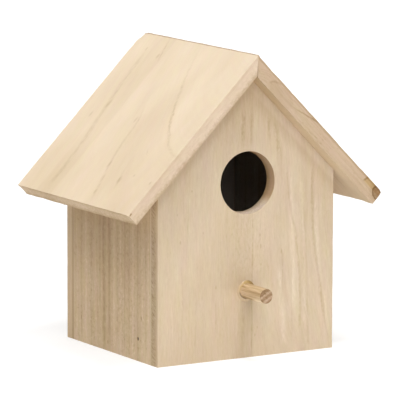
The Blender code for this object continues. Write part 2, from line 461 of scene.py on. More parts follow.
def worn_board(node, space, material, body=HOUSE, wear=0.12, dents=(), thicker=0.0):
    """Stands for a CAD board: the same board with rounded, slightly uneven edges and faces. dents hold
    (centre, radius, push): points within the radius move by up to push. thicker is for a roof's overhang."""
    bm = board_mesh(node)
    rims = [[vert.co.copy() for vert in edge.verts] for edge in sharp_edges(bm) if is_free(node, edge)]
    round_edges(bm, node)
    extra = []
    for centre, radius, _ in dents:
        for axis in space.axes[:2]:
            for i in range(-3, 4):
                extra.append((Vector(centre) + axis * (radius * i / 3.5), axis))
    cut_lattice(bm, space.axes, LATTICE, extra)
    bmesh.ops.remove_doubles(bm, verts=bm.verts, dist=0.01)
    bm.normal_update()
    moves = []
    for vert in bm.verts:
        near = math.exp(-distance_to_edges(vert.co, rims) / 0.8)
        place = vert.co + Vector((len(node) * 31.0, 0.0, 0.0))
        face = noise.noise(place * 0.06) * 0.05 + noise.noise(place * 0.35) * 0.02
        edge = max(0.0, noise.noise(place * 0.11) + 0.7 * noise.noise(place * 0.5)) * wear * near
        move = vert.normal * (face - edge)
        if node == "front_board":
            move += drilled_off_centre(vert.co)
        if node == "right_roof_board" and abs(vert.co.x) < 1.0 and vert.co.z > RIDGE_Z - 1.0:
            move.z += PROUD + 0.2 * noise.noise(place * 0.2)
        if thicker:
            move += thickened(space, vert.co, thicker)
        moves.append(move + pressed(vert.co, dents))
    for vert, move in zip(bm.verts, moves):
        vert.co += move
    piece = as_object(bm, node.replace("_board", "") + "_worn_board", material, body)
    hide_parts(node)
    return piece


# ---- boards and their grain ------------------------------------------------------------------------------
FRONT_WOOD = (211, 190, 162)
BACK_WOOD = (214, 190, 160)
SIDE_WOOD = (203, 178, 145)
ROOF_WOOD = (231, 211, 183)
DOWEL_WOOD = (203, 176, 139)

down_left = Vector((-SLOPE.x, 0.0, SLOPE.z))
ridge = (0.0, ROOF_FRONT_Y, RIDGE_Z)

front_space = BoardSpace((0, FRONT_Y, 0), (1, 0, 0), (0, 0, 1), (0, 1, 0))
back_space = BoardSpace((0, BACK_Y, 0), (-1, 0, 0), (0, 0, 1), (0, -1, 0))
left_space = BoardSpace((-HALF_WIDTH, FRONT_Y, 0), (0, 1, 0), (0, 0, 1), (1, 0, 0))
right_space = BoardSpace((HALF_WIDTH, FRONT_Y, 0), (0, 1, 0), (0, 0, 1), (-1, 0, 0))
left_roof_space = BoardSpace(ridge, (0, 1, 0), down_left, (1, 0, -1))
right_roof_space = BoardSpace(ridge, (0, 1, 0), SLOPE, (-1, 0, -1))
floor_space = BoardSpace((0, floor_low.y, floor_low.z), (0, 1, 0), (1, 0, 0), (0, 0, 1))
perch_origin = Vector((0.0, perch_low.y, PERCH_Z)) + PERCH_SHIFT
perch_space = BoardSpace(perch_origin, (1, 0, 0), (0, 1, 0), (0, 0, 1))

# Streaks hold a half width, a strength and (across, along) points, in mm from the board's own origin.
FRONT_PROFILE = [(-55, 0.02), (-50, -0.02), (-32, 0.03), (-22, 0.03), (-12, 0.06), (0, 0.10), (3.4, 0.08),
                 (4.4, 0.02), (14, 0.01), (24, 0.01), (32, -0.06), (36, 0.04), (40, 0.0), (50, 0.0),
                 (55, 0.02)]
FRONT_GAIN = [(-55, 0.45), (0, 0.5), (12, 0.9), (22, 1.5), (40, 1.6), (55, 1.3)]
FRONT_STREAKS = [
    # The second streak on the next line, broad and faint, running down under the perch, is the perch's
    # painted shadow.
    (0.8, 0.16, [(3.6, 0), (3.5, 30), (3.9, 60), (4.1, 78)]), (3.4, 0.10, [(-2.2, 4), (-2.0, 28)]),
    (2.2, 0.22, [(-2.5, 113), (-2.0, 136)]), (1.6, 0.17, [(2.8, 113), (3.2, 137)]),
    (1.6, 0.15, [(14.0, 116), (13.6, 130)]), (2.4, 0.18, [(21.5, 104), (17.0, 128)]),
    (1.3, 0.15, [(34, 10), (34, 33), (31, 63), (27, 83), (25, 103)]),
    (1.4, 0.17, [(52.5, 4), (48, 28), (45, 48), (42, 70), (42, 103)]),
    (1.3, 0.12, [(39.5, 0), (38, 45), (36.5, 80)]), (1.0, 0.14, [(22.2, 24), (23.0, 58)]),
    (2.4, -0.12, [(24.5, 2), (22.5, 25), (20.5, 50)]), (2.2, -0.12, [(47.5, 36), (44.8, 60), (43.6, 86)]),
    (2.2, -0.12, [(51.2, 3), (49.6, 36)]), (2.8, -0.10, [(37.5, 10), (36.5, 60), (33, 98)]),
    (2.4, -0.10, [(30, 20), (29, 62), (26.5, 104)]), (1.0, 0.09, [(29, 5), (28.5, 50)]),
    (0.7, 0.08, [(-41, 2), (-40, 40), (-41, 60)]), (0.7, 0.08, [(-32, 5), (-31, 38)]),
    (0.6, 0.10, [(-19, 12), (-19, 36)]), (0.7, 0.08, [(-12, 60), (-12.5, 92)]),
    (0.6, 0.09, [(-37, 60), (-36, 88)]), (0.8, -0.07, [(-46, 10), (-46, 36)]),
    (0.8, -0.07, [(-23, 44), (-23, 66)]),
]
FRONT_SPOTS = [
    (0.6, 1.3, 0.22, -41, 66), (0.5, 1.0, 0.2, 8.5, 66), (0.6, 1.4, 0.22, 9.0, 60), (0.5, 0.9, 0.2, 9.2, 50),
    (0.5, 1.0, 0.2, 5.5, 12), (0.5, 0.8, 0.2, -34, 93), (0.5, 1.2, 0.2, -19.0, 40), (0.6, 1.8, 0.22, 22, 56),
    (0.5, 1.0, 0.16, -27, 70), (0.5, 1.0, 0.16, -9, 68), (0.4, 0.8, 0.2, -43, 81), (0.4, 0.9, 0.18, 7, 16),
]

LEFT_PROFILE = [(0, 0.0), (8.4, 0.0), (12, -0.02), (20, 0.04), (26, 0.0), (30, 0.05), (46, 0.06), (50, 0.12),
                (56, 0.22), (60, 0.12), (66, 0.14), (75, 0.07), (86, 0.08), (90, 0.10), (92, 0.14),
                (98, 0.08)]
LEFT_STREAKS = [
    (1.2, 0.10, [(12.5, 0), (12, 95)]), (1.6, -0.10, [(9.6, 0), (9.6, 95)]),
    (1.5, 0.14, [(20.5, 0), (21, 50), (20.5, 95)]), (1.1, 0.10, [(30, 0), (30, 95)]),
    (1.3, 0.14, [(35, 0), (34.5, 95)]), (1.2, 0.12, [(43, 5), (43, 80)]), (1.9, -0.10, [(16, 0), (16, 95)]),
    (1.6, -0.10, [(26, 0), (26, 95)]), (1.9, -0.12, [(39, 0), (39.5, 95)]),
    (1.6, -0.10, [(46.5, 0), (46.5, 95)]), (2.2, 0.18, [(51, 0), (51.5, 90)]),
    (1.4, -0.10, [(54, 10), (54, 90)]), (2.4, 0.20, [(57, 0), (58, 90)]),
    (1.4, 0.14, [(61.5, 20), (61.5, 95)]), (1.4, 0.12, [(71, 0), (71.5, 95)]),
    (2.0, -0.06, [(66, 0), (67, 95)]), (1.5, 0.14, [(82, 0), (82, 95)]), (2.0, -0.10, [(77, 0), (77, 95)]),
    (1.4, -0.08, [(87, 0), (87, 95)]),
]
LEFT_SPOTS = [(0.8, 1.2, 0.3, 53, 5), (0.9, 1.0, 0.35, 17, 24), (0.8, 1.5, 0.3, 82, 14)]

LEFT_ROOF_PROFILE = [(0, 0.0), (12, 0.03), (24, 0.03), (50, 0.02), (72, 0.01), (83, 0.02), (85, 0.08),
                     (98, 0.09), (101, 0.04), (110, 0.03), (121, 0.0)]
LEFT_ROOF_STREAKS = [
    (3.0, 0.12, [(104, 10), (103, 25), (100, 45), (97, 60), (94, 75), (92, 95), (92, 108)]),
    (1.2, 0.14, [(91, 0), (87, 12), (84, 18)]),
    (1.6, 0.10, [(64, 45), (58, 60), (57, 70), (53, 84), (50, 92), (46, 102), (43, 110)]),
    (0.9, 0.09, [(30, 70), (27, 74)]), (1.2, 0.10, [(36, 84), (31, 100)]),
]
LEFT_ROOF_SPOTS = [
    (1.2, 3.0, 0.16, 53, 85), (0.9, 1.2, 0.18, 23, 88), (0.9, 1.4, 0.2, 4, 90), (0.9, 1.6, 0.16, 105, 10),
    (1.2, 2.6, 0.14, 107, 58), (1.6, 4.0, 0.12, 98, 49), (2.2, 3.0, 0.16, 33, 93), (1.2, 2.0, 0.16, 89, 13),
    (1.2, 2.4, 0.14, 62, 55), (1.2, 2.0, 0.14, 46, 103),
]


def front_bend(g, across, along):
    """The front board's rings lean out towards its lower right corner, and in above the entrance."""
    share = g.ramp(across, 2.0, 44.0)
    lean = g.curve(along, [(0, 13.0), (28, 7.0), (48, 3.5), (60, 1.5), (75, 0.0), (103, 0.5), (114, -1.0),
                           (150, -20.0)])
    return across - share * lean


def in_bore(g, across, along, depth):
    """1 in the entrance's bore, 0 on the board's face."""
    from_axis = g.length(across - BORE_SHIFT.x, along - (ENTRANCE_Z + BORE_SHIFT.z))
    return g.ramp(from_axis, ENTRANCE_RADIUS + 0.6, ENTRANCE_RADIUS + 0.2) * g.ramp(depth, 0.1, 0.3)


def bore_warmth(g, across, along, depth):
    """The sides of the bore are browner than the board's face."""
    sides = in_bore(g, across, along, depth) * g.ramp(along, ENTRANCE_Z - 15.0, ENTRANCE_Z - 8.0)
    return sides * 0.13, sides * 0.24


def knot_reach(g, across, along):
    """1 where the right eave's knot shows, fading out in a round outline back from the board's front edge."""
    return g.ramp(across + abs(along - 106.0) * 0.5, 8.0, 4.2)


def knot_warmth(g, across, along, depth):
    """The bark round the right eave's knot is olive, and its heart brown."""
    place = g.ramp(depth, 3.8, 2.6) * g.ramp(along, 97.5, 99.5) * knot_reach(g, across, along)
    heart = g.ramp(along, 105.0, 108.0)
    return place * (heart * 0.04 + 0.05), place * (heart * -0.12 + 0.32)


def side_edge_band(g, across, along, depth, side, end):
    """The front board's side edges have a dark, rough band. Its foot is darker, its middle curly-grained. It
    also carries painted shade under the roof's overhangs and deeper in the entrance's bore, and painted light
    on the bore's lower side and by the right roof's joint with the board.
    """
    band = g.ramp(depth, 1.4, 2.6) * g.ramp(depth, 7.2, 5.8) * side
    slanted = along - depth * 0.5
    torn = g.noise((depth * 0.3, slanted * 0.95, 3.0), 2.0, 0.6)
    low = g.ramp(along, 26.0, 0.0, 0.0, 0.06) * (1.0 - side)
    # In the entrance's bore: a slightly darker tone of its own, painted shade that deepens towards the inner
    # end, and painted light on its lower side, where low_down is 1.
    low_down = g.ramp(along, ENTRANCE_Z - 8.0, ENTRANCE_Z - 14.0)
    bore_tone_and_painted_shading = in_bore(g, across, along, depth) * (0.13 + g.ramp(depth, 2.5, 7.5, 0.0, 0.4) - low_down * 0.64)
    curls = g.noise((across * 0.75, along * 0.34, 7.0), 2.0, 0.7)
    middle = g.ramp(abs(across - 2.0), 16.0, 7.0) * g.ramp(abs(along - 62.0), 24.0, 12.0)
    curly = middle * (curls * 0.28 + g.ramp(curls, 0.1, 0.26, 0.0, 0.1))
    # Painted shade under the roof's overhangs, strongest below the left slope and towards the top of the
    # gable; by the right roof's joint, right_junction lightens it as painted light.
    under_roof = along + abs(across) - 153.0
    left_or_lower = g.math("MAXIMUM", g.ramp(under_roof, -5.0, -8.0), g.ramp(across, 4.0, -4.0))
    right_junction = g.ramp(under_roof, -8.5, -3.0) * g.ramp(across, 4.0, 12.0)
    eaves = (g.ramp(under_roof, -17.0, -9.0) * left_or_lower * 0.09
             + g.ramp(along, 108.0, 132.0, 0.0, 0.05) - right_junction * 0.13)
    ragged = 0.2 + g.ramp(torn, 0.02, 0.2, 0.0, 0.5) + g.ramp(torn, -0.05, -0.2, 0.0, -0.25)
    return low + curly + bore_tone_and_painted_shading + eaves + band * ragged


def painted_wall_shading(g, across, along, depth, side, end):
    """Painted shade and light on a side wall: darker and browner under the roof's overhang, where its shade
    falls, and paler at its foot, where light comes up from the floor.
    """
    return (g.ramp(along, 28.0, 58.0, 0.0, 0.13) + g.ramp(along, 64.0, 75.0, 0.0, 0.14)
            + g.ramp(along, 18.0, 0.0, 0.0, -0.08))


def arch(top, spread, centre):
    """A bend for growth rings that arch across a board: pointed at top, and spread across over a distance."""
    def bend(g, across, along):
        x = abs(across - centre)
        tall = g.math("MAXIMUM", top - along, 0.0)
        return g.math("SQRT", x * x + tall * spread + 4.0)
    return bend


def cathedral_bend(g, across, along):
    """The left roof's rings: lines that bend from down the slope to across it."""
    a = across + 3.0
    return g.math("SQRT", a * a + g.math("MAXIMUM", along, 0.0) * 53.0) - 3.0


def worn_rim(g, across, along, depth, side, end):
    """A roof board's cut edges: faint streaks, dirt and chips along the upper rim, and painted shade that
    darkens them towards the lower rim.
    """
    streaks = g.noise((across * 0.3, along * 0.07, depth * 0.6), 3.0, 0.65)
    chips = g.noise((across * 0.45, along * 0.45, depth * 0.7), 3.0, 0.65)
    rim = g.ramp(depth + chips * 5.0, 2.0, 0.9)
    cut = g.math("MAXIMUM", side, end)
    # The last term is painted shade, darkening the cut edges towards their lower rim.
    rim_dirt_and_painted_shade = rim * end * 0.14 + rim * side * 0.06 + g.ramp(depth + chips * 4.0, 4.4, 7.2, 0.0, 0.28)
    return cut * (streaks * 0.35 + chips * 0.32 + rim_dirt_and_painted_shade)


def cathedral(g, across, along, depth, side, end):
    """The left roof's one pointed growth ring, which bends from down the slope to across it."""
    half_width = 1.6
    a = across + 3.0
    line = 71.0 - a * a / 53.0
    waver = g.noise((across * 0.18, along * 0.18, 4.0), 2.0) * 5.0
    offset = abs(along - line + waver)
    slant = g.math("SQRT", a * a * (2 / 53.0) ** 2 + 1.0)
    strength = g.curve(across, [(-2, 0.0), (6, 0.07), (14, 0.09), (22, 0.12), (30, 0.20), (36, 0.14),
                                (44, 0.10), (52, 0.06), (58, 0.0)])
    grainy = g.noise((across * 0.7, along * 0.5, 8.0), 3.0, 0.6)
    ring = g.ramp(offset / slant, half_width, 0.0) * strength * (grainy * 5.5 + 1.0)
    inside = g.ramp(along - line, 2.0, -6.0) * g.ramp(across, 46.0, 28.0) * -0.05
    speck = g.ramp(abs(along - 110.6), 1.1, 0.5) * g.ramp(depth, 1.4, 0.8) * side * 0.8
    return (ring + inside + speck + g.ramp(along, 66.0, 96.0, 0.0, 0.05)
            + worn_rim(g, across, along, depth, side, end))


def right_roof_edge(g, across, along, depth, side, end):
    """The right roof's front edge: brown streaks along it, a swirl below the ridge and a knot at the eave,
    and painted shade on the underside near the ridge.
    """
    front = side * g.ramp(across, 12.0, 6.0)
    waver = g.noise((depth * 0.5, along * 0.12, 6.0), 3.0, 0.6)
    swirl = g.ramp(abs(along - 14.0), 9.0, 0.0) * 3.0
    bent = depth + waver * 3.0 + swirl
    bands = g.noise((bent * 0.9, along * 0.02, 2.0), 2.0, 0.6)
    tone = bands * 0.45 + g.ramp(depth, 1.4, 0.5, 0.0, 0.28)
    short = g.noise((depth * 1.2, along * 0.25, 9.0), 2.0, 0.6)
    patch = g.ramp(abs(along - 57.0), 16.0, 4.0)
    tone += patch * g.ramp(short, 0.0, 0.22, 0.0, 0.18)
    tone += g.ramp(short, 0.08, 0.26) * 0.15
    round_swirl = g.length((along - 26.0) / 10.5, (depth - 5.5) / 4.6) + waver * 0.5
    outline = (g.ramp(abs(round_swirl - 1.0), 0.16, 0.0) * g.ramp(along, 24.0, 18.0)
               * g.ramp(depth, 6.0, 4.5) * 0.26)
    stroke = abs(depth + along * 0.26 + short * 1.6 - 14.2)
    stroke = g.ramp(stroke, 0.7, 0.0) * g.ramp(along, 32.0, 46.0) * g.ramp(along, 56.0, 51.0) * 0.46
    tone += outline + stroke + g.ramp(round_swirl, 1.0, 0.8) * 0.07

    grit = g.noise((depth * 0.9, along * 0.6, 1.0), 3.0, 0.65)
    away = grit * 0.35 + g.length((along - 111.0) / 5.4, (depth - 1.8) / 4.0, across / 8.0)
    heart = g.ramp(away, 1.04, 0.94, 0.0, 0.62)
    rim = g.ramp(abs(away - 0.88), 0.14, 0.0, 0.0, 0.5)
    halo = g.ramp(away, 1.7, 1.0, 0.0, 0.14)
    bark = g.ramp(depth, 3.4, 2.2) * g.ramp(along, 98.0, 99.5) * g.ramp(along, 110.0, 107.0) * 0.2
    mouth = along + depth * 0.25 + grit * 1.2 - 99.0
    lip = g.ramp(abs(mouth), 0.9, 0.1) * g.ramp(depth, 3.8, 2.2) * 0.6
    shade = heart + rim + halo + bark + lip + g.ramp(away, 1.1, 0.9) * grit * 1.2
    # Painted shade on the roof's underside, strongest by the ridge.
    painted_ridge_shade = g.ramp(depth, 7.4, 7.9) * (1.0 - side) * g.ramp(along, 60.0, 8.0) * 0.22
    return front * tone + shade * knot_reach(g, across, along) + painted_ridge_shade


def dowel_figure(g, across, along, depth, side, end):
    """Lengthwise stripes on the perch, and slanting growth rings on its sawn end. Painted shade runs along
    its underside near the wall, and painted light makes its lower half paler.
    """
    here = g.vector(across * 0.75, along * 0.035, depth * 0.75)
    stripes = g.noise(here, 2.0, 0.6) * (1.0 - end) * 2.1
    torn = g.noise((across * 1.2, depth * 1.2, 5.0), 2.0, 0.6)
    ring = across * -0.5 + depth * 0.86 + torn * 1.4
    rings = g.curve(ring, [(-4.2, 0.35), (-3.2, 0.2), (-2.3, -0.4), (-1.6, -0.35), (-0.8, 0.15), (0.0, 0.1),
                           (0.8, -0.35), (1.5, 0.0), (2.3, 0.35), (4.2, 0.3)])
    # below is a painted shadow along the dowel's underside, near the wall.
    below = g.ramp(depth, -1.9, -3.0) * g.ramp(along, 5.0, 13.0) * 0.9
    # shade makes the lower half paler, as painted light, and the very top a little darker.
    shade = (1.0 - end) * (g.ramp(depth, 1.6, -1.5, 0.0, -0.4) + g.ramp(depth, 3.3, 3.9, 0.0, 0.16))
    return stripes + below + shade + end * (rings + torn * 1.2)


def back_figure(g, across, along, depth, side, end):
    """The back board's small round knot, and its side edges, darker along the joint with the wall."""
    uneven = g.noise((across * 0.5, along * 0.4, 2.0), 2.0) * 2.0
    away = g.length(across - 21.0, (along - 34.0) * 0.8) + uneven
    rim = g.ramp(abs(away - 3.1), 0.8, 0.0) * 0.4
    rings = g.noise((away * 1.1, 3.0, 5.0), 2.0, 0.6) * g.ramp(away, 4.5, 3.0) * 1.6
    heart = g.ramp(away, 3.4, 2.2, 0.0, 0.22) + g.ramp(away, 10.0, 3.0, 0.0, 0.14)
    return heart + rim + rings + side * (g.ramp(depth, 4.8, 6.0, 0.0, 0.30) + 0.14)


BACK_STREAKS = [
    (1.5, 0.16, [(-40, 0), (-39, 60), (-41, 98)]), (1.2, 0.14, [(-28, 10), (-27, 90)]),
    (1.6, -0.12, [(-34, 5), (-33, 95)]), (1.4, 0.15, [(31, 0), (29, 25), (29.5, 45), (31, 100)]),
    (1.2, 0.16, [(26.5, 5), (27, 24), (28.0, 34), (27, 46), (25, 90)]),
    (1.2, 0.16, [(12.5, 5), (14, 24), (14.5, 34), (14, 46), (12, 90)]), (1.6, -0.12, [(42, 0), (42, 90)]),
    (1.3, 0.12, [(-8, 30), (-9, 140)]), (1.2, 0.12, [(3, 0), (2, 120)]), (1.4, -0.10, [(8, 20), (7, 130)]),
]
BACK_SPOTS = [(0.8, 1.6, 0.25, -20, 70), (0.7, 1.4, 0.25, 38, 76), (0.8, 1.2, 0.25, -47, 22),
              (0.7, 1.6, 0.2, 5, 112)]
RIGHT_STREAKS = [
    (1.6, 0.14, [(14, 0), (15, 95)]), (1.4, -0.10, [(19, 0), (19, 95)]), (1.8, 0.18, [(37, 0), (36, 95)]),
    (1.5, -0.12, [(42, 0), (42, 95)]), (1.4, 0.12, [(48, 10), (49, 90)]), (2.2, 0.18, [(63, 0), (64, 95)]),
    (1.6, -0.12, [(69, 0), (69, 95)]), (1.4, 0.14, [(79, 5), (78, 90)]), (1.5, -0.10, [(86, 0), (86, 95)]),
]
RIGHT_SPOTS = [(0.9, 1.4, 0.3, 28, 61), (0.8, 1.2, 0.3, 72, 33), (0.8, 1.8, 0.25, 55, 80)]
RIGHT_ROOF_STREAKS = [
    (1.8, 0.14, [(17, 5), (18, 108)]), (1.4, -0.10, [(23, 5), (24, 108)]),
    (2.0, 0.16, [(83, 0), (88, 60), (94, 110)]), (1.3, 0.12, [(101, 0), (104, 60), (107, 110)]),
    (1.4, 0.14, [(112, 4), (113, 108)]),
]
RIGHT_ROOF_SPOTS = [(1.2, 2.8, 0.18, 30, 72), (1.0, 2.0, 0.2, 92, 31), (1.3, 2.4, 0.16, 70, 96),
                    (1.0, 1.6, 0.2, 12, 40)]

ridge_end = ((0.0, ROOF_BACK_Y, RIDGE_Z), 6.0, (0.0, -1.3, -0.9))
left_eave_corner = ((roof_low.x, ROOF_FRONT_Y, 85.1), 3.0, (0.5, 0.3, -0.5))
right_eave_corner = ((right_roof_high.x, ROOF_FRONT_Y, 85.1), 2.5, (-0.5, 0.2, -0.1))

front_wood = wood("front_grain", front_space, FRONT_WOOD, 1, rings=0.045, fibres=0.30, flecks=0.05,
                  fleck_size=(1.0, 0.28), profile=FRONT_PROFILE, gain=FRONT_GAIN, streaks=FRONT_STREAKS,
                  spots=FRONT_SPOTS, bend=front_bend, side_tone=0.20, side_from=50.0, extra=side_edge_band,
                  hue=0.14, warm=bore_warmth)
back_wood = wood("back_grain", back_space, BACK_WOOD, 2, rings=0.07, fibres=0.30, flecks=0.06,
                 bend=arch(146.0, 7.0, 6.0), streaks=BACK_STREAKS, spots=BACK_SPOTS, extra=back_figure)
left_wood = wood("left_grain", left_space, SIDE_WOOD, 3, rings=0.05, fibres=0.25, flecks=0.22,
                 fleck_size=(0.62, 0.5), profile=LEFT_PROFILE, streaks=LEFT_STREAKS, spots=LEFT_SPOTS,
                 hue=0.18, extra=painted_wall_shading)
right_wood = wood("right_grain", right_space, SIDE_WOOD, 4, rings=0.07, fibres=0.25, flecks=0.18,
                  fleck_size=(0.62, 0.5), streaks=RIGHT_STREAKS, spots=RIGHT_SPOTS, hue=0.14,
                  inner_tone=-0.28, extra=painted_wall_shading)
left_roof_wood = wood("left_roof_grain", left_roof_space, ROOF_WOOD, 5, rings=0.02, fibres=0.045,
                      flecks=0.015, broad=0.30, profile=LEFT_ROOF_PROFILE, streaks=LEFT_ROOF_STREAKS,
                      spots=LEFT_ROOF_SPOTS, bend=cathedral_bend, extra=cathedral, side_tone=0.16,
                      side_pink=0.05, end_tone=0.42, dust_and_shade=0.0, inner_tone=0.34)
right_roof_wood = wood("right_roof_grain", right_roof_space, ROOF_WOOD, 6, rings=0.03, fibres=0.09,
                       flecks=0.03, broad=0.30, bend=arch(104.0, 16.0, 56.0), streaks=RIGHT_ROOF_STREAKS,
                       spots=RIGHT_ROOF_SPOTS, side_tone=0.46, side_pink=0.06, dust_and_shade=0.0, inner_tone=0.24,
                       extra=right_roof_edge, warm=knot_warmth)
floor_wood = wood("floor_grain", floor_space, SIDE_WOOD, 7, rings=0.08, fibres=0.28, flecks=0.12,
                  fleck_size=(0.62, 0.5), bend=arch(60.0, 9.0, 30.0))

worn_board("front_board", front_space, front_wood)
worn_board("back_board", back_space, back_wood)
worn_board("left_side_board", left_space, left_wood)
worn_board("right_side_board", right_space, right_wood)
worn_board("left_roof_board", left_roof_space, left_roof_wood, wear=0.45,
           dents=(ridge_end, left_eave_corner), thicker=-0.6)
worn_board("right_roof_board", right_roof_space, right_roof_wood, wear=0.45,
           dents=(ridge_end, right_eave_corner), thicker=0.5)
worn_board("floor_board", floor_space, floor_wood, body=FLOOR_BODY)


# ---- turned pieces and glue ------------------------------------------------------------------------------
def turned_piece(profile, segments, origin, axis, shape):
    """A mesh of revolution. profile holds (radius, height along axis) pairs, which start and end on the axis
    or make a ring. shape(angle, radius, height) gives a point's true radius and height."""
    axis = Vector(axis)
    first = axis.orthogonal().normalized()
    second = axis.cross(first)
    bm = bmesh.new()
    rows = []
    for radius, height in profile:
        if radius == 0.0:
            rows.append([bm.verts.new(Vector(origin) + axis * shape(0.0, 0.0, height)[1])])
            continue
        row = []
        for i in range(segments):
            angle = 2 * math.pi * i / segments
            true_radius, true_height = shape(angle, radius, height)
            outward = first * math.cos(angle) + second * math.sin(angle)
            row.append(bm.verts.new(Vector(origin) + outward * true_radius + axis * true_height))
        rows.append(row)
    pairs = list(zip(rows, rows[1:]))
    if profile[0][0] > 0.0:
        pairs.append((rows[-1], rows[0]))
    for lower, upper in pairs:
        for i in range(segments):
            j = (i + 1) % segments
            if len(lower) == 1:
                bm.faces.new((lower[0], upper[i], upper[j]))
            elif len(upper) == 1:
                bm.faces.new((lower[i], lower[j], upper[0]))
            else:
                bm.faces.new((lower[i], lower[j], upper[j], upper[i]))
    return bm


def wobble(angle, height, scale, depth=0.0):
    """Smooth noise round a turned piece, within about 1 of 0."""
    return noise.noise(Vector((math.cos(angle) * scale, math.sin(angle) * scale, height * 0.15 + depth)))


def make_perch(material):
    """The dowel, its front end cut by a saw and its edge broken by sanding."""
    length = perch_high.y - perch_low.y
    profile = [(0.0, 0.06)]
    profile += [(PERCH_RADIUS * part, 0.05) for part in (0.25, 0.5, 0.7, 0.85)]
    profile += [(PERCH_RADIUS - 0.25, 0.05), (PERCH_RADIUS - 0.08, 0.14), (PERCH_RADIUS, 0.35)]
    steps = 14
    profile += [(PERCH_RADIUS, 0.35 + (length - 0.7) * i / steps) for i in range(1, steps)]
    profile += [(PERCH_RADIUS, length - 0.3), (PERCH_RADIUS - 0.3, length), (0.0, length)]

    def shape(angle, radius, height):
        fibres = 0.025 * wobble(angle, height * 0.3, 9.0) + 0.04 * wobble(angle, height, 1.2, 5.0)
        torn = 0.10 * wobble(angle, radius * 4.0, 2.5, 9.0) if height < 0.2 else 0.0
        return radius * (1.0 + fibres / PERCH_RADIUS), height + torn

    bm = turned_piece(profile, 64, perch_origin, (0, 1, 0), shape)
    piece = as_object(bm, "perch_turned_dowel", material, HOUSE)
    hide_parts("perch_dowel")


def make_perch_glue(material):
    """Dried glue that fills the oversize hole round the dowel and stands out of it in an uneven bead."""
    inner = PERCH_RADIUS + 0.03
    back = glue_high.y - FRONT_Y
    bore = glue_high.x + GAP - 0.04
    profile = [(inner, -1.25), (inner + 0.22, -1.15), (inner + 0.62, -0.88), (inner + 1.05, -0.68),
               (inner + 1.42, -0.42), (bore + 0.22, -0.08), (bore + 0.16, 0.0), (bore, 0.12), (bore, back),
               (inner, back)]

    def shape(angle, radius, height):
        if height > 0.1 or radius < inner + 0.01:
            return radius, height
        spread = 0.22 * wobble(angle, 0.0, 1.3) + 0.10 * wobble(angle, 0.0, 3.5, 3.0)
        share = (radius - inner) / (bore - inner)
        return radius + spread * share, height * (1.0 + 0.55 * wobble(angle, 0.0, 1.6, 7.0))

    bm = turned_piece(profile, 72, (0, FRONT_Y, PERCH_Z), (0, 1, 0), shape)
    for vert in bm.verts:
        away = math.hypot(vert.co.x, vert.co.z - PERCH_Z)
        vert.co += PERCH_SHIFT * limited((bore - away) / (bore - inner))
    piece = as_object(bm, "perch_glue_bead", material, HOUSE)
    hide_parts("perch_glue")


def make_brad(node, side, material):
    """A headless steel nail, its blunt end dimpled by the punch that set it below the wall's surface."""
    low, high = corners(node)
    radius = (high.z - low.z) / 2
    length = high.x - low.x
    profile = [(0.0, 0.14), (radius * 0.35, 0.10), (radius * 0.6, 0.01), (radius * 0.86, 0.0), (radius, 0.14)]
    steps = 9
    for i in range(steps):
        near = 0.5 + i * 0.45
        profile += [(radius, near), (radius * 0.94, near + 0.12), (radius, near + 0.24)]
    profile += [(radius, length - 2.2), (radius * 0.55, length - 1.0), (0.0, length)]
    outer = (low.x if side < 0 else high.x, (low.y + high.y) / 2, (low.z + high.z) / 2)
    bm = turned_piece(profile, 24, outer, (-side, 0, 0), lambda angle, radius, height: (radius, height))
    piece = as_object(bm, node.replace("floor_pivot", "pivot_brad"), material, HOUSE)
    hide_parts(node)


def glue_sheet(bm, corner, first, second, thick):
    """A thin sheet of glue from a corner along two edges, with an uneven rim."""
    corner, first, second, thick = map(Vector, (corner, first, second, thick))
    across, along = max(1, round(first.length / 2.5)), max(1, round(second.length / 2.5))
    layers = []
    for layer in (0.0, 1.0):
        rows = []
        for i in range(across + 1):
            row = []
            for j in range(along + 1):
                point = corner + first * (i / across) + second * (j / along) + thick * layer
                middle = corner + (first + second) / 2 + thick * layer
                pull = 0.0
                if i in (0, across) or j in (0, along):
                    pull = 0.03 + 0.03 * noise.noise(point * 0.4)
                row.append(bm.verts.new(point + (middle - point).normalized() * pull))
            rows.append(row)
        layers.append(rows)
    low, high = layers
    for i in range(across):
        for j in range(along):
            bm.faces.new((low[i][j], low[i][j + 1], low[i + 1][j + 1], low[i + 1][j]))
            bm.faces.new((high[i][j], high[i + 1][j], high[i + 1][j + 1], high[i][j + 1]))
    rim = [(i, 0) for i in range(across)] + [(across, j) for j in range(along)]
    rim += [(i, along) for i in range(across, 0, -1)] + [(0, j) for j in range(along, 0, -1)]
    for (i, j), (k, m) in zip(rim, rim[1:] + rim[:1]):
        bm.faces.new((low[i][j], low[k][m], high[k][m], high[i][j]))


